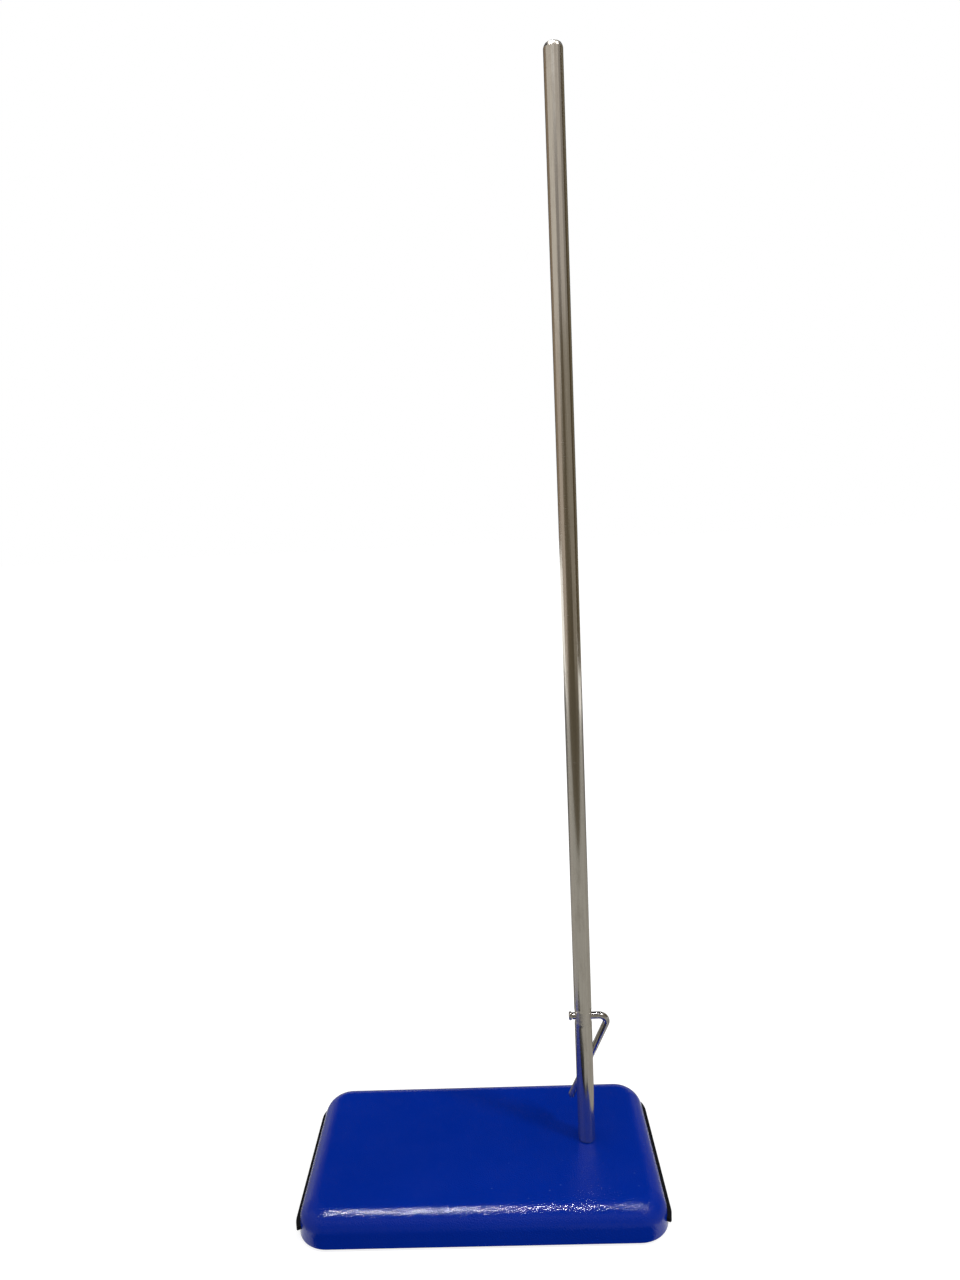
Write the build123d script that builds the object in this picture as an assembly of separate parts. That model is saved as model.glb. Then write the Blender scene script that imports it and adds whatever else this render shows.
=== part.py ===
from build123d import *
import os
from math import asin, cos, degrees, radians, sin, sqrt, tan

# A laboratory retort stand: a steel rod screwed upright into a low pressed-steel base.
# Sizes are in millimetres and degrees. X runs along the base, Y towards its back edge,
# and Z up from the table, with the origin on the table under the middle of the base.

# Pressed base, an open tray turned upside down
base_width = 205.0  # over the walls at the rim
base_depth = 120.0  # over the walls at the rim
base_height = 20.0  # table to top face
sheet = 2.0
top_edge_radius = 12.0
corner_radius = 18.0  # in plan, at the rim
wall_draft = 4.0

# Rubber channels pushed onto the rim of the two short sides, which the base stands on
strip_floor = 1.6
strip_wall = 1.5
strip_outer_height = 7.0
strip_inner_height = 5.5
strip_corner_wrap = 25.0
strip_edge_round = 0.5
strip_slot_clearance = 0.05

# Rod
rod_diameter = 10.0
rod_length = 600.0  # shoulder to top end
rod_inset = 40.0  # rod's axis to the right end of the base, at the rim
tip_bevel_height = 2.4
tip_bevel_width = 1.5
shoulder_bevel = 0.6

# Threaded spigot under the shoulder, drawn at its thread's outer size
spigot_diameter = 8.0
spigot_length = 14.0
spigot_bevel = 1.0
relief_depth = 0.7
relief_length = 2.0

# Plate and nut welded under the top of the base, which take the spigot
plate_width = 50.0
plate_depth = 70.0
plate_thickness = 3.0
plate_corner_radius = 8.0
spigot_hole_clearance = 0.5
spot_weld_inset = 9.0
spot_weld_radius = 3.0
spot_weld_depth = 0.4
nut_across_flats = 14.0
nut_height = 6.5
nut_bevel = 1.2
thread_clearance = 0.05

# Captive bar of bent wire through the rod, for turning the rod by hand
wire_diameter = 4.0
cross_hole_height = 79.0  # above the base's top face
cross_hole_clearance = 0.1
cross_hole_edge_break = 0.3
dressed_band_length = 9.0  # where the rod is ground a little thinner round the hole
dressed_band_depth = 0.2
head_diameter = 5.6
head_length = 1.8
head_gap = 1.4  # between the rod and the head
bar_corner_reach = 15.4  # rod's axis to the corner of the bar's centre line
bar_bend_radius = 4.5
bar_leg_length = 65.5
bar_leg_angle = 20.7  # between the leg and a line square to the rod's cross hole
bar_tip_round = 0.8
bar_rest_gap = 0.3  # left between the resting leg and the rod

# Places that follow from the sizes above
rim_height = strip_floor
rod_offset = base_width / 2 - rod_inset
rod_radius = rod_diameter / 2
wire_radius = wire_diameter / 2
spigot_radius = spigot_diameter / 2
plate_top = base_height - sheet
plate_bottom = plate_top - plate_thickness
nut_bottom = plate_bottom - nut_height
cross_hole_z = base_height + cross_hole_height
leg_contact = rod_radius + wire_radius + bar_rest_gap
bar_tilt = degrees(
    asin(leg_contact * tan(radians(bar_leg_angle)) / sqrt(bar_corner_reach**2 - leg_contact**2))
)


def tray(inset, height, edge_radius):
    """The base's outer or inner form: a drafted block with rounded corners and top edges."""
    outline = RectangleRounded(
        base_width - 2 * inset, base_depth - 2 * inset, corner_radius - inset
    )
    block = extrude(Pos(0, 0, rim_height) * outline, height, taper=wall_draft)
    return fillet(block.faces().sort_by(Axis.Z)[-1].edges(), edge_radius)


def spigot_hole(bottom, depth):
    """A clearance hole for the spigot, on the rod's axis."""
    radius = spigot_radius + spigot_hole_clearance
    align = (Align.CENTER, Align.CENTER, Align.MIN)
    return Pos(rod_offset, 0, bottom) * Cylinder(radius, depth, align=align)


def base_shell():
    """The pressing: one sheet thickness all over, open below, with a hole for the spigot."""
    pressing_height = base_height - rim_height
    outside = tray(0, pressing_height, top_edge_radius)
    inside = tray(
        sheet / cos(radians(wall_draft)), pressing_height - sheet, top_edge_radius - sheet
    )
    return outside - inside - spigot_hole(plate_top, sheet)


def backing_plate():
    """The thick plate spot-welded under the base's top, where the rod's load comes in."""
    outline = RectangleRounded(plate_width, plate_depth, plate_corner_radius)
    plate = extrude(Pos(rod_offset, 0, plate_bottom) * outline, plate_thickness)
    plate -= spigot_hole(plate_bottom, plate_thickness)
    # A sphere of this radius cuts a dimple of the electrode's width and depth
    ball_radius = (spot_weld_radius**2 + spot_weld_depth**2) / (2 * spot_weld_depth)
    electrode = Sphere(ball_radius)
    centre_drop = ball_radius - spot_weld_depth
    for side in (-1, 1):
        for end in (-1, 1):
            x = rod_offset + side * (plate_width / 2 - spot_weld_inset)
            y = end * (plate_depth / 2 - spot_weld_inset)
            plate -= Pos(x, y, plate_bottom - centre_drop) * electrode
    return plate


def weld_nut():
    """The hexagon nut welded under the plate, its lower corners turned to a bevel."""
    align = (Align.CENTER, Align.CENTER, Align.MIN)
    corner_reach = nut_across_flats / sqrt(3)
    prism = extrude(RegularPolygon(corner_reach, 6), nut_height)
    narrow = nut_across_flats / 2
    bevel = Cone(narrow, narrow + nut_height * 2, nut_height * 1.0, align=align)
    turned = Pos(0, 0, nut_bevel) * Cylinder(corner_reach + 1, nut_height, align=align)
    bore = Cylinder(spigot_radius + thread_clearance, nut_height, align=align)
    return Pos(rod_offset, 0, nut_bottom) * ((prism & (bevel + turned)) - bore)


def edge_strip(side):
    """One rubber channel: straight along the short side, then a little way round each corner."""
    slope = tan(radians(wall_draft))
    stretch = 1 / cos(radians(wall_draft))

    def at(height, outward):
        wall_x = base_width / 2 - (height - rim_height) * slope
        return (wall_x + outward * stretch, 0, height)

    outer_near = strip_slot_clearance
    outer_far = strip_slot_clearance + strip_wall
    inner_near = -sheet - strip_slot_clearance
    inner_far = inner_near - strip_wall
    section = Polyline(
        at(0, outer_far),
        at(strip_outer_height, outer_far),
        at(strip_outer_height, outer_near),
        at(rim_height, outer_near),
        at(rim_height, inner_near),
        at(strip_inner_height, inner_near),
        at(strip_inner_height, inner_far),
        at(0, inner_far),
        close=True,
    )
    channel = make_face(section)
    lips = [v for v in channel.vertices() if abs(v.Z - rim_height) > strip_slot_clearance]
    channel = fillet(lips, strip_edge_round)
    corner_x = base_width / 2 - corner_radius
    corner_y = base_depth / 2 - corner_radius
    strip = extrude(channel, corner_y, both=True)
    for end in (-1, 1):
        axis = Axis((corner_x, end * corner_y, 0), (0, 0, end))
        strip += revolve(Pos(0, end * corner_y, 0) * channel, axis, strip_corner_wrap)
    return strip if side > 0 else mirror(strip, Plane.YZ)


def rod():
    """The rod turned from one bar: bevelled tip, shoulder, relieved spigot and cross hole."""
    relief_radius = spigot_radius - relief_depth
    band_radius = rod_radius - dressed_band_depth
    band_bottom = cross_hole_height - dressed_band_length / 2
    band_top = cross_hole_height + dressed_band_length / 2
    outline = Polyline(
        (0, 0, -spigot_length),
        (spigot_radius - spigot_bevel, 0, -spigot_length),
        (spigot_radius, 0, spigot_bevel - spigot_length),
        (spigot_radius, 0, -relief_length),
        (relief_radius, 0, relief_depth - relief_length),
        (relief_radius, 0, 0),
        (rod_radius - shoulder_bevel, 0, 0),
        (rod_radius, 0, shoulder_bevel),
        (rod_radius, 0, band_bottom),
        (band_radius, 0, band_bottom + dressed_band_depth),
        (band_radius, 0, band_top - dressed_band_depth),
        (rod_radius, 0, band_top),
        (rod_radius, 0, rod_length - tip_bevel_height),
        (rod_radius - tip_bevel_width, 0, rod_length),
        (0, 0, rod_length),
        close=True,
    )
    # A quarter turn keeps the turned faces' seam away from the cross hole
    bar = Rot(0, 0, 90) * revolve(make_face(outline), Axis.Z)
    hole_radius = wire_radius + cross_hole_clearance
    drill = Rot(0, 90, 0) * Cylinder(hole_radius, 2 * rod_diameter)
    bar -= Pos(0, 0, cross_hole_height) * drill
    middle = Plane.XY.offset(cross_hole_height)
    mouths = [e for e in bar.edges() if abs(e.bounding_box().center().Z - middle.origin.Z) < 0.1]
    mouths = [e for e in mouths if e.bounding_box().size.X < rod_radius]
    bar = chamfer(mouths, cross_hole_edge_break)
    return Pos(rod_offset, 0, base_height) * bar


def tommy_bar():
    """The bent wire: a peened head, a run through the rod, a tight bend and a long leg."""
    head_end = -(rod_radius + head_gap + head_length)
    corner = (bar_corner_reach, 0, 0)
    tip_x = bar_corner_reach - bar_leg_length * sin(radians(bar_leg_angle))
    tip_z = -bar_leg_length * cos(radians(bar_leg_angle))
    route = FilletPolyline((head_end, 0, 0), corner, (tip_x, 0, tip_z), radius=bar_bend_radius)
    section = Plane(origin=route @ 0, z_dir=route % 0) * Circle(wire_radius)
    wire = sweep(section, path=route)
    wire = fillet(wire.edges().sort_by(Axis.Z)[0], bar_tip_round)
    head = Rot(0, 90, 0) * Cylinder(head_diameter / 2, head_length)
    head = fillet(head.edges().filter_by(GeomType.CIRCLE), head_length / 3)
    wire += Pos(head_end + head_length / 2, 0, 0) * head
    # Hung in the rod, the leg leans on the rod's back
    return Pos(rod_offset, 0, cross_hole_z) * Rot(bar_tilt, 0, 0) * wire


if __name__ == "__main__":
    os.makedirs("parts", exist_ok=True)
    pieces = {
        "base_shell": base_shell(),
        "backing_plate": backing_plate(),
        "weld_nut": weld_nut(),
        "edge_strip_left": edge_strip(-1),
        "edge_strip_right": edge_strip(1),
        "rod": rod(),
        "tommy_bar": tommy_bar(),
    }
    for name, piece in pieces.items():
        export_step(piece, f"parts/{name}.step")
    print("bar_tilt", round(bar_tilt, 2), "cross_hole_z", cross_hole_z)
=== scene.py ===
from math import atan2, cos, pi, radians, sin, sqrt

import bmesh
import bpy
from bpy.props import FloatProperty, FloatVectorProperty, PointerProperty
from bpy.types import Operator, Panel, PropertyGroup
from mathutils import Matrix, Vector


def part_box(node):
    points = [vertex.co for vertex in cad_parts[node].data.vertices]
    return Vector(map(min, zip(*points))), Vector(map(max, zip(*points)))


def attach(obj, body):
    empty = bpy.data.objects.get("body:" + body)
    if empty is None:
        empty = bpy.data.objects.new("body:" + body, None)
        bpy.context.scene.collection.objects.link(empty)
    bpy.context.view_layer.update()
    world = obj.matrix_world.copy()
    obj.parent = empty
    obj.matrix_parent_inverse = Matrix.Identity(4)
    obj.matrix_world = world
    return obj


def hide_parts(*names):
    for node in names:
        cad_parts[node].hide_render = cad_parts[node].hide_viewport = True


bl_info = {
    "name": "Retort Stand",
    "version": (1, 0, 0),
    "blender": (4, 5, 0),
    "location": "View3D > Sidebar > Retort Stand",
    "description": "Finishes a laboratory retort stand and sets it in a pale studio",
    "category": "Object",
}

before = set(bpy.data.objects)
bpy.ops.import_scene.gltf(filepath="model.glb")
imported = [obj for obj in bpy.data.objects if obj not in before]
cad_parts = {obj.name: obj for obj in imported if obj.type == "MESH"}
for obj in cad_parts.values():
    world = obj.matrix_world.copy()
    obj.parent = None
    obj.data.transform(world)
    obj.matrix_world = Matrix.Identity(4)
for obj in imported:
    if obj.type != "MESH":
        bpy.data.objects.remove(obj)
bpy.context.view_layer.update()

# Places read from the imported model
ROD_LOW, ROD_HIGH = (Vector(c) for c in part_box("rod"))
NUT_LOW, NUT_HIGH = (Vector(c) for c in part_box("weld_nut"))
ROD_X = (ROD_LOW.x + ROD_HIGH.x) / 2
BASE_TOP = Vector(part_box("base_shell")[1]).z

# How finely the round forms are drawn
CORNER_STEPS = 16  # round each corner of the base
EDGE_STEPS = 14  # over the base's top edges
WRAP_STEPS = 12  # along a strip where it bends round a corner
ROD_SIDES = 96
THREAD_STEPS = 14  # in one turn of the thread
DRILL_SIDES = 48
WIRE_SIDES = 40
RUN_STEPS = 60  # along each straight run of the wire
BEND_STEPS = 40  # round the wire's bend
BEAD_SIDES = 14
BEAD_STEPS = 30  # along a weld bead

# Small forms, in metres or as shares of the size that each comment names
ROUND_MIDDLE = 0.3  # how far in the middle of a small round lies, of its radius
SCARF_START = 0.08  # cut at the first station of a strip's scarf, of the whole cut
TIP_HEEL = 0.0002  # left of the channel's inside at a strip's tips
THREAD_FLANK = 1.15  # steepness of the thread's flanks
TIP_BEVEL_POINTS = ((0.18, 0.62), (0.55, 0.22))  # of the rod's top bevel, across and down
DRILL_REACH = 0.007  # half the drill's length
MOUTH_START = 0.0041  # rod's axis to where the cross hole's mouths widen
MOUTH_FLARE = 0.0026  # how much the drill widens from there to its ends
HEAD_END = 1.25  # where the peened head runs out into the wire, of its length
HEAD_CROWN = 0.45  # where it is thickest, of its length
HEAD_FULLNESS = 2.4
HEAD_SHY = 0.00005  # how far the peened head stays inside its radius
HEAD_WIDE = (0.86, 0.55)  # of the wire's radius and of the head's rise
HEAD_TALL = (0.90, 1.2)
CROP_DROP = 0.92  # fall of the bevel at the wire's tip, of its length
CROP_CURVE = 1.6
BEAD_RADIUS = 0.0013
BEAD_THINNEST = 0.00002
BEAD_HALF_LENGTH = 0.0032
BEAD_SINK = 0.0002  # how far a bead's middle lies below the plate
RIPPLE = 0.10  # of a bead's radius
RIPPLE_TURN = 1.9  # from one station of a bead to the next, in radians

# What counts as the rod's side or its cross hole when its normals are set
SIDEWAYS = 0.2
WALL_SLACK = 0.00005
HOLE_SLACK = 0.0001


def length(name, description, default):
    """A size in metres that a user can change."""
    return FloatProperty(
        name=name, description=description, default=default, unit="LENGTH", precision=5
    )


def share(name, description, default):
    """A number from 0 to 1."""
    return FloatProperty(
        name=name, description=description, default=default, min=0, max=1, subtype="FACTOR"
    )


def tone(name, description, default):
    """A linear colour."""
    return FloatVectorProperty(
        name=name, description=description, default=default, size=3, min=0, max=1, subtype="COLOR"
    )


def slant(name, description, default):
    """An angle, given here in degrees."""
    return FloatProperty(
        name=name, description=description, default=radians(default), subtype="ANGLE"
    )


def amount(name, description, default):
    """A number from 0 up."""
    return FloatProperty(name=name, description=description, default=default, min=0)


def spot(name, description, default):
    """A point in metres."""
    return FloatVectorProperty(
        name=name, description=description, default=default,
        size=3, subtype="TRANSLATION", unit="LENGTH",
    )


class BaseSizes(PropertyGroup):
    """Sizes of the pressed base and the rubber channels on its short sides."""

    width: length("Width", "Over the walls at the rim", 0.2045)
    depth: length("Depth", "Over the walls at the rim", 0.1174)
    rim: length("Rim height", "Table to the rim", 0.0016)
    sheet: length("Sheet", "Thickness of the sheet", 0.002)
    top_edge: length("Top edge radius", "Radius of the top edges", 0.0115)
    corner: length("Corner radius", "Radius of the corners in plan", 0.0175)
    lip: length("Lip", "Small round on the cut rim", 0.0003)
    slope: share("Wall slope", "How far the walls lean in for each metre of height", 0.0787)
    spigot_hole: length("Spigot hole", "Radius of the hole for the spigot", 0.0045)
    strip_high: length("Strip height", "Table to the top of the rubber", 0.0076)
    strip_inside: length("Strip's inner leg", "Height of the rubber's inner leg", 0.0055)
    strip_proud: length("Strip's reach", "How far the rubber stands outside the rim", 0.00186)
    strip_leg: length("Strip's leg", "Thickness of the rubber's inner leg", 0.0015)
    strip_tip: length("Strip's tip", "Lower edge of the rubber at its tips", 0.0054)
    strip_gap: length("Strip's gap", "Space between the rubber and the wall", 0.00005)
    strip_round: length("Strip's round", "Round on the rubber's edges", 0.0003)
    strip_wrap: slant("Strip's wrap", "How far the rubber runs round a corner", 24.0)


class RodSizes(PropertyGroup):
    """Sizes of the rod, its spigot and its cross hole."""

    radius: length("Radius", "Radius of the plain rod", 0.005)
    bevel_height: length("Tip bevel height", "Height of the bevel at the top end", 0.0024)
    bevel_width: length("Tip bevel width", "Width of the bevel at the top end", 0.0015)
    shoulder: length("Shoulder bevel", "Bevel at the foot of the rod", 0.0006)
    spigot_radius: length("Spigot radius", "Outer radius of the thread", 0.004)
    spigot_bevel: length("Spigot bevel", "Bevel at the spigot's end", 0.001)
    relief: length("Relief depth", "Depth of the groove under the shoulder", 0.0007)
    relief_length: length("Relief length", "Length of the groove under the shoulder", 0.002)
    pitch: length("Thread pitch", "Rise of the thread in one turn", 0.00125)
    thread_depth: length("Thread depth", "Depth of the thread's groove", 0.00068)
    hole_height: length("Hole height", "Cross hole above the base's top", 0.079)
    hole_radius: length("Hole radius", "Radius of the cross hole", 0.0021)
    band: length("Dressed band", "Length of the dressed band round the hole", 0.009)
    band_depth: length("Band depth", "How far the band is below the rod's surface", 0.0002)
    band_ramp: length("Band ramp", "Length of the run-out at each end of the band", 0.0018)


class BarSizes(PropertyGroup):
    """Sizes of the bent wire bar."""

    radius: length("Wire radius", "Radius of the wire", 0.002)
    head_end: length("Head end", "Rod's axis to the end of the head", 0.0082)
    head_length: length("Head length", "Length of the peened head", 0.0018)
    head_radius: length("Head radius", "Radius of the peened head", 0.0028)
    corner: length("Corner reach", "Rod's axis to the corner of the centre line", 0.0154)
    bend: length("Bend radius", "Radius of the centre line in the bend", 0.0045)
    leg: length("Leg length", "Corner to the tip", 0.0655)
    angle: slant("Leg angle", "Angle of the leg in the bar's own plane", 20.7)
    rest_gap: length("Rest gap", "Space left between the leg and the rod", 0.0003)
    bevel: length("Tip bevel", "Bevel at the leg's tip", 0.0008)


class Finishes(PropertyGroup):
    """Colours and roughness of the surfaces."""

    paint: tone("Paint", "Stoved blue paint", (0.0002, 0.0195, 0.280))
    paint_rough: share("Paint roughness", "Roughness of the paint", 0.11)
    inside: tone("Inside paint", "Thinner paint under the base", (0.0030, 0.0240, 0.200))
    inside_rough: share("Inside roughness", "Roughness of the inside paint", 0.42)
    inside_peel: amount("Inside peel", "Orange peel under the base, 1 for the outside's", 1.6)
    nickel: tone("Nickel", "Plating on the rod", (0.78, 0.735, 0.655))
    nickel_rough: share("Nickel roughness", "Roughness of the rod's plating", 0.16)
    wire: tone("Wire plating", "Plating on the bar", (0.70, 0.68, 0.65))
    wire_rough: share("Wire roughness", "Roughness of the bar's plating", 0.10)
    rubber: tone("Rubber", "Edge strips", (0.0040, 0.0042, 0.0060))
    weld: tone("Weld", "Bare weld metal under thin paint", (0.010, 0.032, 0.150))


class Studio(PropertyGroup):
    """Camera, floor, sky, lamp and the bright card overhead."""

    camera_at: spot("Camera", "Camera's place", (0.0204, -0.4995, 0.4014))
    camera_turn: FloatVectorProperty(
        name="Camera turn", description="Camera's heading, dip and roll",
        default=(radians(-2.022), radians(8.899), radians(2.843)), size=3, subtype="EULER",
    )
    camera_shift: FloatProperty(
        name="Shift", description="How far the picture is cropped to one side", default=0.01424
    )
    lens: FloatProperty(
        name="Lens", description="Focal length", default=26.0156, min=1, unit="CAMERA"
    )
    fill: amount("Fill", "Strength of the sky's light", 0.82)
    key: amount("Key", "Power of the soft lamp in watts", 17.0)
    key_at: spot("Key's place", "Place of the soft lamp", (1.36, -0.84, 2.1))
    key_target: spot("Key's aim", "Where the soft lamp points", (0.03, 0, 0.02))
    key_size: length("Key's size", "Width of the soft lamp", 0.30)
    tube: amount("Tube", "Brightness of the long card overhead", 420.0)
    floor: length("Floor size", "Width of the floor", 14.0)
    floor_matt: share("Floor", "How pale the floor is under the lights", 0.38)
    floor_glow: share("Floor's glow", "How bright the floor is by itself where it is seen", 0.80)


class RetortStand(PropertyGroup):
    """Everything a user can change."""

    base: PointerProperty(type=BaseSizes)
    rod: PointerProperty(type=RodSizes)
    bar: PointerProperty(type=BarSizes)
    finish: PointerProperty(type=Finishes)
    studio: PointerProperty(type=Studio)


# Materials

# Where most of a noise's values lie
NOISE_SPAN = (0.3, 0.7)

# Places of a Mix node's sockets when it mixes colours
MIX_SHARE, MIX_A, MIX_B, MIX_RESULT = 0, 6, 7, 2

WHITE = (1.0, 1.0, 1.0, 1.0)
RUBBED_PAINT = (0.030, 0.070, 0.330)
NIB_BLUE = (0.050, 0.110, 0.420)
TARNISH = (0.47, 0.41, 0.33)
RING_WEAR = (0.42, 0.40, 0.37)
PIT_BROWN = (0.20, 0.17, 0.14)
RUBBER_DUST = (0.055, 0.055, 0.060)
HEAT_STAIN = (0.020, 0.018, 0.030)
BARE_WELD = (0.22, 0.20, 0.19)


class Shader:
    """A material's or world's node tree, with short ways to add and join nodes."""

    def __init__(self, owner, output="OutputMaterial"):
        owner.use_nodes = True
        self.owner = owner
        self.tree = owner.node_tree
        self.tree.nodes.clear()
        self.out = self.node(output)
        self.place = None

    def node(self, kind, **settings):
        made = self.tree.nodes.new("ShaderNode" + kind)
        for key, value in settings.items():
            setattr(made, key, value)
        return made

    def feed(self, socket, value):
        """Links an input to an output, or sets it."""
        if isinstance(value, bpy.types.NodeSocket):
            self.tree.links.new(value, socket)
        else:
            socket.default_value = value

    def put(self, node, **values):
        """Feeds inputs by name, with underscores for spaces."""
        for key, value in values.items():
            self.feed(node.inputs[key.replace("_", " ")], value)
        return node

    def stretched(self, scale):
        """The object's coordinates in metres times a scale for each axis."""
        mapping = self.put(self.node("Mapping"), Vector=self.place, Scale=scale)
        return mapping.outputs["Vector"]

    def noise(self, scale, detail=2.0, roughness=0.5, vector=None):
        made = self.node("TexNoise")
        self.put(
            made, Vector=vector or self.place, Scale=scale, Detail=detail, Roughness=roughness
        )
        return made.outputs["Fac"]

    def streaks(self, scale, detail, roughness):
        """Noise with a scale of its own along each axis."""
        return self.noise(1.0, detail, roughness, self.stretched(scale))

    def specks(self, scale, inner, outer):
        """1 at scattered points, falling to 0 between two distances in cells."""
        cells = self.node("TexVoronoi", feature="F1")
        self.put(cells, Vector=self.place, Scale=scale, Randomness=1.0)
        return self.ramp(cells.outputs["Distance"], inner, outer, 1.0, 0.0)

    def ramp(self, value, low, high, start=0.0, end=1.0):
        """value from low..high to start..end, clamped."""
        made = self.node("MapRange")
        self.put(made, Value=value, From_Min=low, From_Max=high, To_Min=start, To_Max=end)
        return made.outputs["Result"]

    def maths(self, operation, a, b=0.0):
        made = self.node("Math", operation=operation)
        self.feed(made.inputs[0], a)
        self.feed(made.inputs[1], b)
        return made.outputs[0]

    def added(self, value, extra, factor):
        """value plus a factor of extra."""
        return self.maths("ADD", value, self.maths("MULTIPLY", extra, factor))

    def mixed(self, share_of_b, a, b):
        """Colour a turning to colour b."""
        made = self.node("Mix", data_type="RGBA")
        self.feed(made.inputs[MIX_SHARE], share_of_b)
        for place, colour in ((MIX_A, a), (MIX_B, b)):
            linked_colour = isinstance(colour, bpy.types.NodeSocket)
            self.feed(made.inputs[place], colour if linked_colour else (*colour, 1.0))
        return made.outputs[MIX_RESULT]

    def tinted(self, colour, extra, factor, tint):
        """A colour turning to a tint by a factor of extra."""
        return self.mixed(self.maths("MULTIPLY", extra, factor), colour, tint)

    def bump(self, height, distance, strength, normal=None):
        made = self.node("Bump")
        self.put(made, Height=height, Distance=distance, Strength=strength)
        if normal is not None:
            self.put(made, Normal=normal)
        return made.outputs["Normal"]

    def height(self):
        """The object's own height."""
        split = self.put(self.node("SeparateXYZ"), Vector=self.place)
        return split.outputs["Z"]

    def seen(self):
        """1 for what is seen straight, in a gloss or through glass, and 0 for other light."""
        path = self.node("LightPath").outputs
        straight = self.maths("MAXIMUM", path["Is Camera Ray"], path["Is Glossy Ray"])
        return self.maths("MAXIMUM", straight, path["Is Transmission Ray"])

    def finish(self, surface):
        self.tree.links.new(surface.outputs[0], self.out.inputs["Surface"])
        return self.owner

    def surfaced(self, **values):
        """The finished material, with one principled surface."""
        return self.finish(self.put(self.node("BsdfPrincipled"), **values))


def material_shader(name):
    """A new material's shader, which starts from the object's own coordinates."""
    s = Shader(bpy.data.materials.new(name))
    s.place = s.node("TexCoord").outputs["Object"]
    return s


def dimmed(colour, factor):
    return tuple(min(1.0, c * factor) for c in colour)


def stoved_paint(name, colour, rough, peel=1.0):
    """Glossy stoved enamel: orange peel, faint cloudiness, dust nibs and a few dull rubs."""
    s = material_shader(name)
    clouds = s.ramp(s.noise(9.0, detail=3.0, roughness=0.6), *NOISE_SPAN)
    coat = s.mixed(clouds, dimmed(colour, 0.94), dimmed(colour, 1.07))
    lengthwise = s.stretched((1.0, 0.25, 1.0))
    rubs = s.ramp(s.noise(140.0, detail=4.0, roughness=0.7, vector=lengthwise), 0.66, 0.80)
    coat = s.tinted(coat, rubs, 0.12, RUBBED_PAINT)
    thinned = s.ramp(s.noise(31.0, detail=1.0), 0.50, 0.62)
    nibs = s.maths("MULTIPLY", s.specks(115.0, 0.035, 0.075), thinned)
    coat = s.tinted(coat, nibs, 0.30, NIB_BLUE)
    waves = s.noise(60.0, detail=1.0)
    pebbles = s.noise(1300.0, detail=1.6, roughness=0.45)
    fine = s.noise(2300.0, detail=2.0)
    normal = s.bump(waves, distance=0.0004, strength=0.10)
    normal = s.bump(pebbles, distance=0.00022, strength=0.90 * peel, normal=normal)
    normal = s.bump(fine, distance=0.00006, strength=0.50 * peel, normal=normal)
    normal = s.bump(nibs, distance=0.00010, strength=0.5, normal=normal)
    patches = s.noise(45.0, detail=4.0, roughness=0.65)
    roughness = s.ramp(patches, 0.35, 0.65, rough - 0.03, rough + 0.04)
    roughness = s.added(roughness, rubs, 0.15)
    return s.surfaced(
        Base_Color=coat, Roughness=roughness, Normal=normal, IOR=1.5, Specular_IOR_Level=0.28
    )


def drawn_nickel(name, colour, rough, hole_z, tip_z):
    """Bright nickel over drawn bar: lengthwise grain, clamp rings, tarnish, and a dressed band."""
    s = material_shader(name)
    grain = s.streaks((2600.0, 2600.0, 26.0), detail=3.0, roughness=0.65)
    broad = s.streaks((420.0, 420.0, 9.0), detail=2.0, roughness=0.5)
    rings = s.ramp(s.streaks((60.0, 60.0, 1500.0), detail=4.0, roughness=0.7), 0.62, 0.74)
    patches = s.ramp(s.streaks((90.0, 90.0, 14.0), detail=2.0, roughness=0.5), 0.52, 0.66)
    rings = s.maths("MULTIPLY", rings, patches)
    tarnish = s.ramp(s.streaks((260.0, 260.0, 70.0), detail=5.0, roughness=0.7), 0.48, 0.74)
    plating = s.mixed(s.ramp(grain, *NOISE_SPAN), dimmed(colour, 0.90), dimmed(colour, 1.06))
    plating = s.tinted(plating, tarnish, 0.30, TARNISH)
    plating = s.tinted(plating, rings, 0.35, RING_WEAR)
    roughness = s.ramp(broad, *NOISE_SPAN, rough - 0.05, rough + 0.06)
    roughness = s.added(roughness, tarnish, 0.07)
    roughness = s.added(roughness, rings, 0.16)
    normal = s.bump(broad, distance=0.00030, strength=0.10)
    normal = s.bump(grain, distance=0.000020, strength=0.40, normal=normal)
    normal = s.bump(rings, distance=0.000012, strength=0.5, normal=normal)

    # Dents fill the dressed band round the cross hole and fade out at its ends
    height = s.height()
    from_hole = s.maths("ABSOLUTE", s.maths("SUBTRACT", height, hole_z))
    dressed = s.ramp(from_hole, 0.0035, 0.0052, 1.0, 0.0)
    dents = s.maths("MULTIPLY", s.noise(900.0, detail=3.0, roughness=0.6), dressed)
    normal = s.bump(dents, distance=0.00025, strength=0.55, normal=normal)
    roughness = s.added(roughness, dressed, 0.10)

    # The turned bevel on top is duller
    turned_tip = s.ramp(height, tip_z - 0.0026, tip_z - 0.0023)
    roughness = s.added(roughness, turned_tip, 0.10)
    return s.surfaced(Base_Color=plating, Roughness=roughness, Normal=normal, Metallic=1.0)


def bent_wire_nickel(name, colour, rough):
    """Plating over wire that was cold-bent: fine pits and patchy brightness."""
    s = material_shader(name)
    patchy = s.noise(420.0, detail=4.0, roughness=0.65)
    pits = s.specks(1500.0, 0.06, 0.16)
    plating = s.mixed(s.ramp(patchy, 0.35, 0.7), dimmed(colour, 1.05), dimmed(colour, 0.72))
    plating = s.tinted(plating, pits, 0.5, PIT_BROWN)
    roughness = s.ramp(patchy, *NOISE_SPAN, rough - 0.03, rough + 0.12)
    normal = s.bump(patchy, distance=0.00005, strength=0.30)
    normal = s.bump(pits, distance=0.00002, strength=0.4, normal=normal)
    return s.surfaced(Base_Color=plating, Roughness=roughness, Normal=normal, Metallic=1.0)


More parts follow.
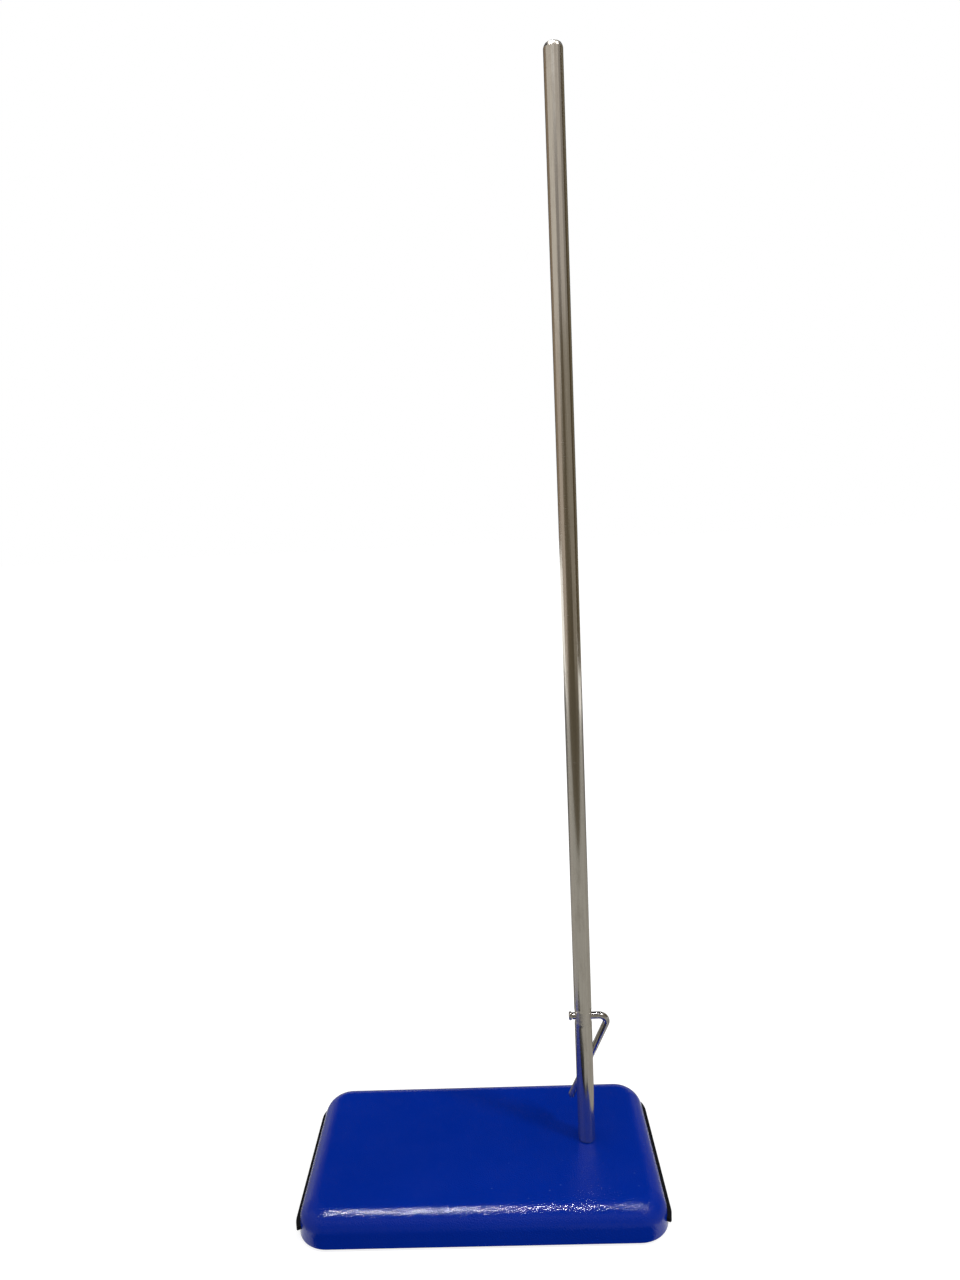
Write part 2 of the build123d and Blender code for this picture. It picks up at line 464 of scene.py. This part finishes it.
def extruded_rubber(name, colour):
    """Matt black rubber: die lines along its length, dust in the grain, scuffed crests."""
    s = material_shader(name)
    lines = s.streaks((2200.0, 30.0, 2200.0), detail=3.0, roughness=0.6)
    speckle = s.noise(1700.0, detail=3.0, roughness=0.7)
    dust = s.ramp(s.noise(170.0, detail=5.0, roughness=0.7), 0.55, 0.78)
    black = s.mixed(s.ramp(speckle, *NOISE_SPAN), dimmed(colour, 0.75), dimmed(colour, 1.4))
    black = s.tinted(black, dust, 0.10, RUBBER_DUST)
    normal = s.bump(lines, distance=0.00004, strength=0.4)
    normal = s.bump(speckle, distance=0.00003, strength=0.5, normal=normal)
    roughness = s.ramp(speckle, *NOISE_SPAN, 0.66, 0.85)
    return s.surfaced(
        Base_Color=black, Roughness=roughness, Normal=normal, Specular_IOR_Level=0.10
    )


def painted_weld(name, colour):
    """Weld metal under thin paint: ripples, heat stain and bare flecks."""
    s = material_shader(name)
    stain = s.noise(300.0, detail=4.0, roughness=0.6)
    flecks = s.ramp(s.noise(1300.0, detail=3.0, roughness=0.7), 0.60, 0.72)
    metal = s.mixed(s.ramp(stain, 0.35, 0.7), colour, HEAT_STAIN)
    metal = s.tinted(metal, flecks, 0.6, BARE_WELD)
    pebbles = s.noise(900.0, detail=3.0, roughness=0.6)
    normal = s.bump(pebbles, distance=0.00012, strength=0.6)
    roughness = s.ramp(stain, *NOISE_SPAN, 0.4, 0.7)
    return s.surfaced(Base_Color=metal, Normal=normal, Roughness=roughness)


def give(obj, *materials):
    """These materials in the object's slots, whatever it had."""
    obj.data.materials.clear()
    for made in materials:
        obj.data.materials.append(made)


def linked(name, data):
    """A new object in the scene."""
    obj = bpy.data.objects.new(name, data)
    bpy.context.scene.collection.objects.link(obj)
    return obj


def shown(name, mesh, body, node_slot, *nodes):
    """A new piece in the scene that rides on a body and stands for nodes, which it hides."""
    obj = linked(name, mesh)
    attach(obj, body)
    if nodes:
        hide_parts(*nodes)
    return obj


# Meshes


def mesh_from(bm, name):
    """The mesh of a bmesh, which is freed."""
    made = bpy.data.meshes.new(name)
    bm.to_mesh(made)
    bm.free()
    return made


def ring(bm, centre, across, up, radius, count):
    """A ring of vertices round a centre."""
    return [
        bm.verts.new(centre + radius * (cos(a) * across + sin(a) * up))
        for a in (2 * pi * k / count for k in range(count))
    ]


def closed_form(bm, rings):
    """Quads from each ring of vertices to the next, and a face over each end."""
    for low, high in zip(rings, rings[1:]):
        count = len(low)
        for k in range(count):
            after = (k + 1) % count
            bm.faces.new((low[k], low[after], high[after], high[k]))
    bm.faces.new(list(reversed(rings[0])))
    bm.faces.new(rings[-1])


# Pressed sheet and rubber


class Skin:
    """A mesh grown from loops of (point, normal) pairs, with the normals kept at each corner."""

    def __init__(self):
        self.bm = bmesh.new()
        self.normals = []

    def loop(self, points):
        return [self.bm.verts.new(p) for p in points]

    def face(self, verts, normals):
        self.bm.faces.new(verts)
        self.normals += normals

    def band(self, low, high, low_normals, high_normals):
        """Quads from one closed loop to the next."""
        count = len(low)
        for k in range(count):
            n = (k + 1) % count
            self.face(
                (low[k], low[n], high[n], high[k]),
                [low_normals[k], low_normals[n], high_normals[n], high_normals[k]],
            )

    def mesh(self, name):
        made = mesh_from(self.bm, name)
        made.shade_smooth()
        made.normals_split_custom_set([tuple(n) for n in self.normals])
        return made


def rounded_outline(sizes, inset):
    """Points and outward directions round the base, a distance inside its rim."""
    radius = sizes.corner - inset
    points, outward = [], []
    for quarter, (sx, sy) in enumerate(((1, 1), (-1, 1), (-1, -1), (1, -1))):
        centre = Vector((
            sx * (sizes.width / 2 - sizes.corner), sy * (sizes.depth / 2 - sizes.corner), 0
        ))
        for k in range(CORNER_STEPS + 1):
            a = (quarter + k / CORNER_STEPS) * pi / 2
            out = Vector((cos(a), sin(a), 0))
            points.append(centre + out * radius)
            outward.append(out)
    return points, outward


def pressing_profile(sizes, skin_inset, top, edge_radius):
    """(inset, height, tilt) down from the flat top to the rim; tilt 1 is up and 0 is outward."""
    lean = atan2(sizes.slope, 1)
    start = top - edge_radius
    at_start = skin_inset + (start - sizes.rim) * sizes.slope
    profile = []
    for k in range(EDGE_STEPS + 1):
        a = pi / 2 - (pi / 2 - lean) * k / EDGE_STEPS
        profile.append((at_start + edge_radius * (1 - cos(a)), start + edge_radius * sin(a), a))
    profile.append((skin_inset + sizes.lip * sizes.slope, sizes.rim + sizes.lip, lean))
    return profile


def hole_rim(pressing, edge, z, radius):
    """A loop of the spigot hole with a point towards each of an edge's, and their directions."""
    hole_at = Vector((ROD_X, 0, 0))
    out = [v.co - hole_at for v in edge]
    out = [Vector((o.x, o.y, 0)).normalized() for o in out]
    return pressing.loop([hole_at + o * radius + Vector((0, 0, z)) for o in out]), out


def base_mesh(sizes):
    """The pressing: outer form, cut rim and inner form, one sheet thickness apart."""
    pressing = Skin()
    up, down = Vector((0, 0, 1)), Vector((0, 0, -1))
    under_top = BASE_TOP - sizes.sheet
    lip, rim = sizes.lip, sizes.rim
    outside = pressing_profile(sizes, 0.0, BASE_TOP, sizes.top_edge)
    inside = pressing_profile(sizes, sizes.sheet, under_top, sizes.top_edge - sizes.sheet)
    cut_rim = [
        (lip * ROUND_MIDDLE, rim + lip * ROUND_MIDDLE, -pi / 4),
        (lip, rim, -pi / 2),
        (sizes.sheet - lip, rim, -pi / 2),
    ]
    loops = []
    for profile, facing in ((outside + cut_rim, 1), (reversed(inside), -1)):
        for inset, z, a in profile:
            points, outward = rounded_outline(sizes, inset)
            normals = [facing * (cos(a) * o + sin(a) * up) for o in outward]
            loops.append((pressing.loop([p + up * z for p in points]), normals))
    for (high, high_normals), (low, low_normals) in zip(loops, loops[1:]):
        pressing.band(low, high, low_normals, high_normals)
    top_edge, inner_edge = loops[0][0], loops[-1][0]
    top_rim, _ = hole_rim(pressing, top_edge, BASE_TOP, sizes.spigot_hole)
    under_rim, out = hole_rim(pressing, inner_edge, under_top, sizes.spigot_hole)
    ups, downs, into = [up] * len(out), [down] * len(out), [-o for o in out]
    pressing.band(top_edge, top_rim, ups, ups)
    pressing.band(under_rim, inner_edge, downs, downs)
    pressing.band(top_rim, under_rim, into, into)
    return pressing.mesh("base_pressed")


def strip_section(sizes, bare):
    """The channel's section as (outward, height), its floor gone where bare is above 0."""
    out, top = sizes.strip_proud, sizes.strip_high
    r, gap = sizes.strip_round, sizes.strip_gap
    in_a_little = ROUND_MIDDLE * r
    low = sizes.strip_tip * bare
    outer = [
        (out, low + r),
        (out, top - r),
        (out - in_a_little, top - in_a_little),
        (out - r, top),
        (gap - (top - sizes.rim) * sizes.slope, top),
    ]
    if bare > 0:
        wall = gap - max(0.0, low - sizes.rim) * sizes.slope
        inner = [(wall, low + TIP_HEEL)] * 5 + [(wall, low)]
    else:
        leg_face = -sizes.sheet - gap
        leg_back = leg_face - sizes.strip_leg
        lean = (sizes.strip_inside - sizes.rim) * sizes.slope
        inner = [
            (gap, sizes.rim),
            (leg_face, sizes.rim),
            (leg_face - lean, sizes.strip_inside),
            (leg_back - lean, sizes.strip_inside),
            (leg_back, r),
            (leg_back + r, 0.0),
        ]
    return outer + inner + [(out - r, low), (out - in_a_little, low + in_a_little)]


def strip_mesh(sizes, side):
    """One rubber channel, straight along the side, its tips scarfed up round the corners."""
    corner = Vector((sizes.width / 2 - sizes.corner, sizes.depth / 2 - sizes.corner, 0))
    stations = []
    for end in (-1, 1):
        half = []
        for k in range(WRAP_STEPS + 1):
            bare = SCARF_START + (1 - SCARF_START) * k / WRAP_STEPS if k > 1 else 0.0
            half.append((end * sizes.strip_wrap * k / WRAP_STEPS, end, bare))
        stations += half if end > 0 else list(reversed(half))
    bm = bmesh.new()
    rings = []
    for a, end, bare in stations:
        out = Vector((cos(a), sin(a), 0))
        centre = Vector((corner.x, end * corner.y, 0))
        points = [
            centre + out * (sizes.corner + o) + Vector((0, 0, z))
            for o, z in strip_section(sizes, bare)
        ]
        rings.append([bm.verts.new((side * p.x, p.y, p.z)) for p in points])
    closed_form(bm, rings)
    bmesh.ops.remove_doubles(bm, verts=bm.verts, dist=0.000001)
    bmesh.ops.recalc_face_normals(bm, faces=bm.faces)
    return mesh_from(bm, "strip_scarfed")


# Turned and bent metal


def turned_rings(bm, profile):
    """Rings about the rod's axis from (radius, height) pairs."""
    across, up = Vector((1, 0, 0)), Vector((0, 1, 0))
    return [ring(bm, Vector((ROD_X, 0, z)), across, up, r, ROD_SIDES) for r, z in profile]


def threaded_radius(sizes, z, angle, low, high):
    """Radius of a right-handed thread at a height and angle, fading out at both ends."""
    turn = (z / sizes.pitch - angle / (2 * pi)) % 1.0
    groove = max(0.0, 1.0 - abs(2 * turn - 1) * THREAD_FLANK)
    fade = min(1.0, (z - low) / sizes.pitch, (high - z) / sizes.pitch)
    return sizes.spigot_radius - sizes.thread_depth * groove * max(0.0, fade)


def rod_mesh(sizes, hole):
    """The rod from spigot to tip, with a real thread and the drilled cross hole."""
    foot = BASE_TOP
    end = ROD_LOW.z
    tip = ROD_HIGH.z
    band_low = foot + sizes.hole_height - sizes.band / 2
    band_high = band_low + sizes.band
    thread_low = end + sizes.spigot_bevel
    thread_high = foot - sizes.relief_length
    bm = bmesh.new()
    rings = turned_rings(bm, [(sizes.spigot_radius - sizes.spigot_bevel, end)])
    steps = int((thread_high - thread_low) / sizes.pitch * THREAD_STEPS)
    for j in range(steps + 1):
        z = thread_low + (thread_high - thread_low) * j / steps
        thread = []
        for k in range(ROD_SIDES):
            a = 2 * pi * k / ROD_SIDES
            r = threaded_radius(sizes, z, a, thread_low, thread_high)
            thread.append(bm.verts.new((ROD_X + r * cos(a), r * sin(a), z)))
        rings.append(thread)
    neck = sizes.spigot_radius - sizes.relief
    ground = sizes.radius - sizes.band_depth
    profile = [
        (neck, thread_high + sizes.relief),
        (neck, foot),
        (sizes.radius - sizes.shoulder, foot),
        (sizes.radius, foot + sizes.shoulder),
        (sizes.radius, band_low),
        (ground, band_low + sizes.band_ramp),
        (ground, band_high - sizes.band_ramp),
        (sizes.radius, band_high),
        (sizes.radius, tip - sizes.bevel_height),
    ]
    for across, down in TIP_BEVEL_POINTS:
        profile.append(
            (sizes.radius - sizes.bevel_width * across, tip - sizes.bevel_height * down)
        )
    profile.append((sizes.radius - sizes.bevel_width, tip))
    rings += turned_rings(bm, profile)
    closed_form(bm, rings)
    return drilled(mesh_from(bm, "rod_turned"), hole, sizes.hole_radius)


def drilled(mesh, at, radius):
    """The mesh with a hole along X through it, its mouths broken by a small bevel."""
    bm = bmesh.new()
    across, up = Vector((0, 1, 0)), Vector((0, 0, 1))
    wide = radius + MOUTH_FLARE
    stations = [
        (-DRILL_REACH, wide), (-MOUTH_START, radius), (MOUTH_START, radius), (DRILL_REACH, wide)
    ]
    closed_form(
        bm, [ring(bm, at + Vector((x, 0, 0)), across, up, r, DRILL_SIDES) for x, r in stations]
    )
    blank = linked("rod_blank", mesh)
    tool = linked("drill", mesh_from(bm, "drill"))
    cut = blank.modifiers.new("cross hole", "BOOLEAN")
    cut.operation = "DIFFERENCE"
    cut.solver = "EXACT"
    cut.object = tool
    bpy.context.view_layer.update()
    evaluated = blank.evaluated_get(bpy.context.evaluated_depsgraph_get())
    made = bpy.data.meshes.new_from_object(evaluated)
    for obj in (blank, tool):
        bpy.data.objects.remove(obj)
    return made


def rod_normal(sizes, hole, point, face):
    """The exact normal at a point of the rod's side or cross hole, or else the face's own."""
    outward = Vector((point.x - ROD_X, point.y, 0))
    wall = sizes.radius - sizes.band_depth - WALL_SLACK
    if abs(face.z) < SIDEWAYS and outward.length > wall and face.dot(outward) > 0:
        return outward.normalized()
    from_hole = Vector((0, point.y - hole.y, point.z - hole.z))
    if from_hole.length < sizes.hole_radius + HOLE_SLACK and abs(face.x) < SIDEWAYS:
        return -from_hole.normalized()
    return face


def smooth_rod(mesh, sizes, hole):
    """Smooth shading with the rod's exact normals."""
    mesh.shade_smooth()
    normals = []
    for face in mesh.polygons:
        for corner in face.loop_indices:
            point = mesh.vertices[mesh.loops[corner].vertex_index].co
            normals.append(tuple(rod_normal(sizes, hole, point, face.normal)))
    mesh.normals_split_custom_set(normals)


def bar_route(sizes):
    """Points along the bar's centre line, in its own plane."""
    direction = Vector((-sin(sizes.angle), 0, -cos(sizes.angle)))
    corner = Vector((sizes.corner, 0, 0))
    turn = pi / 2 + sizes.angle
    cut = sizes.bend * abs(sin(turn / 2) / cos(turn / 2))
    start = Vector((-sizes.head_end, 0, 0))
    before = corner - Vector((cut, 0, 0))
    centre = before + Vector((0, 0, -sizes.bend))
    tip = corner + direction * sizes.leg
    points = [start + (before - start) * k / RUN_STEPS for k in range(RUN_STEPS)]
    for k in range(BEND_STEPS + 1):
        a = turn * k / BEND_STEPS
        points.append(centre + sizes.bend * Vector((sin(a), 0, cos(a))))
    after = points[-1]
    points += [after + (tip - after) * k / RUN_STEPS for k in range(1, RUN_STEPS + 1)]
    return points


def bar_tilt(sizes, rod_radius):
    """How far the hung bar's plane leans back, with the leg against the rod."""
    contact = rod_radius + sizes.radius + sizes.rest_gap
    slope = sin(sizes.angle) / cos(sizes.angle)
    s = contact * slope / sqrt(sizes.corner**2 - contact**2)
    return atan2(s, sqrt(1 - s * s))


def bar_mesh(sizes, rod_radius, at):
    """The bar swept along its route, with a peened head and a cropped, bevelled tip."""
    route = bar_route(sizes)
    gone = [0.0]
    for a, b in zip(route, route[1:]):
        gone.append(gone[-1] + (b - a).length)
    across = Vector((0, 1, 0))
    bm = bmesh.new()
    rings = []
    for k, point in enumerate(route):
        along = (route[min(k + 1, len(route) - 1)] - route[max(k - 1, 0)]).normalized()
        up = along.cross(across).normalized()
        wide, tall = wire_section(sizes, gone[k], gone[-1])
        rings.append([
            bm.verts.new(point + wide * cos(a) * across + tall * sin(a) * up)
            for a in (2 * pi * j / WIRE_SIDES for j in range(WIRE_SIDES))
        ])
    closed_form(bm, rings)
    bmesh.ops.recalc_face_normals(bm, faces=bm.faces)
    lean = Matrix.Rotation(bar_tilt(sizes, rod_radius), 4, "X")
    bm.transform(Matrix.Translation(at) @ lean)
    mesh = mesh_from(bm, "bar_swept")
    for face in mesh.polygons:
        face.use_smooth = len(face.vertices) == 4
    return mesh


def wire_section(sizes, gone, total):
    """Half width and half height of the wire at a distance along it."""
    head = sizes.head_length
    if gone < head * HEAD_END:
        from_crown = abs(gone / head - HEAD_CROWN)
        bulge = max(0.0, 1 - from_crown**HEAD_FULLNESS / (1 - HEAD_CROWN) ** HEAD_FULLNESS)
        rise = (sizes.head_radius - HEAD_SHY - sizes.radius) * bulge
        return tuple(sizes.radius * wire + rise * peened for wire, peened in (HEAD_WIDE, HEAD_TALL))
    if gone > total - sizes.bevel:
        t = (gone - total + sizes.bevel) / sizes.bevel
        drop = sizes.bevel * CROP_DROP * t**CROP_CURVE
        return sizes.radius - drop, sizes.radius - drop
    return sizes.radius, sizes.radius


def weld_beads():
    """Three rippled fillet beads on alternate flats of the nut."""
    bm = bmesh.new()
    flat = (NUT_HIGH.y - NUT_LOW.y) / 2
    middle = Vector((ROD_X, 0, NUT_HIGH.z))
    up = Vector((0, 0, 1))
    for k in range(3):
        facing = radians(90 + 120 * k)
        out = Vector((cos(facing), sin(facing), 0))
        side = Vector((-sin(facing), cos(facing), 0))
        rings = []
        for j in range(BEAD_STEPS + 1):
            t = j / BEAD_STEPS * 2 - 1
            swell = sqrt(max(0.0, 1 - abs(t) ** 3)) * (1 + RIPPLE * sin(j * RIPPLE_TURN))
            radius = max(BEAD_THINNEST, BEAD_RADIUS * swell)
            centre = middle + out * flat + side * (BEAD_HALF_LENGTH * t)
            rings.append(ring(bm, centre + Vector((0, 0, -BEAD_SINK)), out, up, radius, BEAD_SIDES))
        closed_form(bm, rings)
    bmesh.ops.recalc_face_normals(bm, faces=bm.faces)
    mesh = mesh_from(bm, "weld_beads")
    mesh.shade_smooth()
    return mesh


# Operators


class STAND_OT_base(Operator):
    """Press and paint the base"""

    bl_idname = "stand.base"
    bl_label = "Base"

    def execute(self, context):
        stand = context.scene.retort_stand
        base = shown("base_pressed", base_mesh(stand.base), "base", "base_paint", "base_shell")
        give(base, stoved_paint("base_enamel", stand.finish.paint, stand.finish.paint_rough))
        return {"FINISHED"}


class STAND_OT_underside(Operator):
    """Paint the plate and nut under the base, and lay the weld beads round the nut"""

    bl_idname = "stand.underside"
    bl_label = "Plate, nut and welds"

    def execute(self, context):
        finish = context.scene.retort_stand.finish
        inside = stoved_paint(
            "inside_enamel", finish.inside, finish.inside_rough, finish.inside_peel
        )
        give(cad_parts["backing_plate"], inside)
        give(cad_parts["weld_nut"], inside)
        bead = shown("nut_weld_beads", weld_beads(), "base", "inner_steel")
        give(bead, painted_weld("weld_metal", finish.weld))
        return {"FINISHED"}


class STAND_OT_strips(Operator):
    """Finish the rubber strips on the two short sides"""

    bl_idname = "stand.strips"
    bl_label = "Edge strips"

    def execute(self, context):
        stand = context.scene.retort_stand
        rubber = extruded_rubber("strip_rubber_black", stand.finish.rubber)
        for side, name in ((-1, "left"), (1, "right")):
            strip = shown(
                "strip_" + name, strip_mesh(stand.base, side), "base", "strip_rubber",
                "edge_strip_" + name,
            )
            give(strip, rubber)
        return {"FINISHED"}


class STAND_OT_rod(Operator):
    """Turn, thread, drill and plate the rod"""

    bl_idname = "stand.rod"
    bl_label = "Rod"

    def execute(self, context):
        stand = context.scene.retort_stand
        finish = stand.finish
        hole = Vector((ROD_X, 0, BASE_TOP + stand.rod.hole_height))
        mesh = rod_mesh(stand.rod, hole)
        smooth_rod(mesh, stand.rod, hole)
        rod = shown("rod_turned", mesh, "rod", "rod_plating", "rod")
        plating = drawn_nickel(
            "rod_nickel", finish.nickel, finish.nickel_rough, hole.z, ROD_HIGH.z
        )
        give(rod, plating)
        return {"FINISHED"}


class STAND_OT_bar(Operator):
    """Bend, peen and plate the wire bar"""

    bl_idname = "stand.bar"
    bl_label = "Turning bar"

    def execute(self, context):
        stand = context.scene.retort_stand
        at = Vector((ROD_X, 0, BASE_TOP + stand.rod.hole_height))
        mesh = bar_mesh(stand.bar, stand.rod.radius, at)
        bar = shown("bar_bent", mesh, "tommy_bar", "wire_plating", "tommy_bar")
        give(bar, bent_wire_nickel("wire_nickel", stand.finish.wire, stand.finish.wire_rough))
        return {"FINISHED"}


# Studio


# Height above the table from which the upright cards are placed
CARD_EYE = 0.394

# Widest step of an upright card's curve, in degrees
CARD_STEP = 5

# The long bright card overhead, and its tone at a brightness of 1
TUBE_CARD = ("tube", (-0.555, -0.375), (0.195, -0.325), 2.0)
TUBE_TONE = (1.0, 1.0, 1.04)

BLACK = (0.012, 0.012, 0.013)

# Level cards: name, two corners, height, tone
BENCH_CARDS = (
    ("bench", (-1.2, -0.50), (1.2, -0.066), 0.0004, (0.35, 0.345, 0.325)),
    ("bench_left", (-1.2, -0.066), (-0.111, 0.3), 0.0004, (0.36, 0.35, 0.33)),
    ("bench_right", (0.111, -0.066), (1.2, 0.3), 0.0004, (0.33, 0.32, 0.30)),
    ("gloom", (-1.4, -1.5), (1.4, -0.50), 0.0003, (0.10, 0.085, 0.06)),
    ("bench_back", (-1.2, 0.07), (1.2, 1.3), 0.0003, (0.16, 0.155, 0.15)),
    # contact and the card after it are dark sheets on the floor just in front of the base: painted
    # shadow that the base's front wall and rounding reflect where the floor's shade would be
    ("contact", (-0.103, -0.087), (0.103, -0.0590), 0.0006, (0.010, 0.010, 0.012)),
    ("contact_left", (-0.115, -0.130), (0.045, -0.087), 0.0006, (0.04, 0.04, 0.04)),
)
HIGH_CARDS = (
    ("ceiling", (-1.7, -1.7), (1.8, 1.7), 3.9, BLACK),
    ("over_tip", (ROD_X - 0.10, -0.12), (ROD_X + 0.10, 0.06), 0.78, (0.42, 0.41, 0.40)),
)

# Upright cards: name, first and last heading, lowest and highest rise, distance, tone
ROOM_CARDS = (
    ("room_left", -98, -50, -30, 12, 1.5, (0.43, 0.375, 0.325)),
    ("room_front_left", -50, -30, -30, 8, 1.5, (0.13, 0.105, 0.07)),
    ("room_front", -30, 2, -30, 14, 1.5, (0.105, 0.085, 0.055)),
    ("room_front_low", 2, 24, -30, -4, 1.5, (0.085, 0.07, 0.045)),
    ("room_front_right", 2, 24, -4, 13, 1.5, (0.205, 0.18, 0.14)),
    ("room_right", 24, 78, -30, 13, 1.5, (0.24, 0.215, 0.175)),
    ("room_far_right", 78, 104, -30, 34, 1.5, (0.075, 0.057, 0.032)),
    ("room_back_right", 104, 150, -30, 34, 1.5, (0.16, 0.14, 0.10)),
    ("room_back_left", -150, -98, -5, 34, 1.5, (0.24, 0.19, 0.14)),
    ("wall_left", -98, -30, 7, 37, 1.55, (0.56, 0.53, 0.49)),
    ("wall_middle", -30, 4, 13, 26, 1.55, (0.26, 0.24, 0.225)),
    ("wall_middle_high", -30, 4, 26, 37, 1.56, (0.66, 0.64, 0.62)),
    ("wall_right", 4, 50, 12, 37, 1.55, (0.46, 0.43, 0.40)),
    ("wall_right_edge", 50, 78, 12, 37, 1.55, (0.26, 0.24, 0.22)),
    ("dark_high", -180, 180, 37, 66, 1.6, BLACK),
)
BACK_CARDS = (("dark_back", 135, 225, -5, 66, 1.7, (0.004, 0.004, 0.005)),)


def look(settings):
    """The camera's matrix from its place, heading, dip and roll."""
    heading, dip, roll = settings.camera_turn
    ahead = Vector((sin(heading) * cos(dip), cos(heading) * cos(dip), -sin(dip)))
    right = Vector((cos(heading), -sin(heading), 0))
    down = ahead.cross(right)
    right, down = cos(roll) * right + sin(roll) * down, cos(roll) * down - sin(roll) * right
    made = Matrix((right, -down, -ahead)).transposed().to_4x4()
    made.translation = Vector(settings.camera_at)
    return made


def pale_floor(matt, glow):
    """White to the eye and in reflections, yet darker where the stand shades it."""
    s = Shader(bpy.data.materials.new("pale_floor"))
    shaded = s.put(s.node("BsdfDiffuse"), Color=(matt, matt, matt, 1.0))
    strength = s.maths("MULTIPLY", s.seen(), glow)
    bright = s.put(s.node("Emission"), Color=WHITE, Strength=strength)
    both = s.node("AddShader")
    s.feed(both.inputs[0], shaded.outputs[0])
    s.feed(both.inputs[1], bright.outputs[0])
    return s.finish(both)


def pale_world(world, fill):
    """White where it is seen, plain light everywhere else."""
    s = Shader(world, "OutputWorld")
    strength = s.ramp(s.seen(), 0.0, 1.0, fill, 1.0)
    return s.finish(s.put(s.node("Background"), Color=WHITE, Strength=strength))


def level_mesh(name, corner_a, corner_b, height):
    """A level rectangle between two corners."""
    (ax, ay), (bx, by) = corner_a, corner_b
    corners = [(ax, ay, height), (bx, ay, height), (bx, by, height), (ax, by, height)]
    made = bpy.data.meshes.new(name)
    made.from_pydata(corners, [], [(0, 1, 2, 3)])
    return made


def level_card(name, corner_a, corner_b, height, colour):
    """A level card between two corners."""
    return card(name, level_mesh(name, corner_a, corner_b, height), colour)


def upright_card(name, start, end, low, high, distance, colour):
    """A card curved about the rod. Heading 0 is towards the front and 90 towards the right."""
    bm = bmesh.new()
    steps = max(2, int(abs(end - start) / CARD_STEP))
    edges = []
    for rise in (radians(low), radians(high)):
        z = CARD_EYE + distance * sin(rise) / cos(rise)
        headings = [radians(start + (end - start) * k / steps) for k in range(steps + 1)]
        edges.append([
            bm.verts.new((ROD_X + distance * sin(a), -distance * cos(a), z)) for a in headings
        ])
    lower, upper = edges
    for k in range(steps):
        bm.faces.new((lower[k], lower[k + 1], upper[k + 1], upper[k]))
    return card(name, mesh_from(bm, name), colour)


def card(name, mesh, colour):
    """A glowing card that shows only in glossy surfaces."""
    obj = linked(name, mesh)
    s = Shader(bpy.data.materials.new(name + "_tone"))
    give(obj, s.finish(s.put(s.node("Emission"), Color=(*colour, 1.0), Strength=1.0)))
    obj.visible_camera = False
    obj.visible_diffuse = False
    obj.visible_shadow = False
    obj.visible_transmission = False
    return obj


def place_camera(scene, studio):
    """The camera, with the sensor that its focal length is given for."""
    camera = linked("camera", bpy.data.cameras.new("camera"))
    camera.data.lens = studio.lens
    camera.data.sensor_width = 36.0
    camera.data.clip_start = 0.01
    camera.data.shift_x = studio.camera_shift
    camera.matrix_world = look(studio)
    scene.camera = camera


def place_key(studio):
    """The soft square lamp."""
    data = bpy.data.lights.new("key", "AREA")
    data.shape = "RECTANGLE"
    data.size = studio.key_size
    data.size_y = studio.key_size
    data.energy = studio.key
    obj = linked("key", data)
    obj.location = studio.key_at
    aim = Vector(studio.key_target) - Vector(studio.key_at)
    obj.rotation_euler = aim.to_track_quat("-Z", "Y").to_euler()


class STAND_OT_stage(Operator):
    """Set the camera, floor, sky, lamp and the cards that glossy surfaces reflect"""

    bl_idname = "stand.stage"
    bl_label = "Stage"

    def execute(self, context):
        scene = context.scene
        studio = scene.retort_stand.studio
        place_camera(scene, studio)

        half = studio.floor / 2
        floor = linked("floor", level_mesh("floor", (-half, -half), (half, half), 0))
        give(floor, pale_floor(studio.floor_matt, studio.floor_glow))

        scene.world = scene.world or bpy.data.worlds.new("sky")
        pale_world(scene.world, studio.fill)
        scene.view_settings.view_transform = "Standard"

        place_key(studio)
        level_card(*TUBE_CARD, tuple(studio.tube * c for c in TUBE_TONE))
        for settings in BENCH_CARDS:
            level_card(*settings)
        for settings in ROOM_CARDS:
            upright_card(*settings)
        for settings in HIGH_CARDS:
            level_card(*settings)
        for settings in BACK_CARDS:
            upright_card(*settings)
        return {"FINISHED"}


class STAND_PT_sidebar(Panel):
    """Steps and settings of the retort stand"""

    bl_idname = "STAND_PT_sidebar"
    bl_label = "Retort Stand"
    bl_space_type = "VIEW_3D"
    bl_region_type = "UI"
    bl_category = "Retort Stand"

    def draw(self, context):
        stand = context.scene.retort_stand
        for operator in OPERATORS:
            self.layout.operator(operator.bl_idname)
        for group in (stand.base, stand.rod, stand.bar, stand.finish, stand.studio):
            box = self.layout.box()
            for name in group.bl_rna.properties.keys():
                if name not in ("rna_type", "name"):
                    box.prop(group, name)


OPERATORS = (
    STAND_OT_base,
    STAND_OT_underside,
    STAND_OT_strips,
    STAND_OT_rod,
    STAND_OT_bar,
    STAND_OT_stage,
)
CLASSES = (
    BaseSizes,
    RodSizes,
    BarSizes,
    Finishes,
    Studio,
    RetortStand,
    *OPERATORS,
    STAND_PT_sidebar,
)


def register():
    for made in CLASSES:
        bpy.utils.register_class(made)
    bpy.types.Scene.retort_stand = PointerProperty(type=RetortStand)


def unregister():
    del bpy.types.Scene.retort_stand
    for made in reversed(CLASSES):
        bpy.utils.unregister_class(made)


def main():
    register()
    bpy.ops.stand.base()
    bpy.ops.stand.underside()
    bpy.ops.stand.strips()
    bpy.ops.stand.rod()
    bpy.ops.stand.bar()
    bpy.ops.stand.stage()


if __name__ == "__main__":
    main()
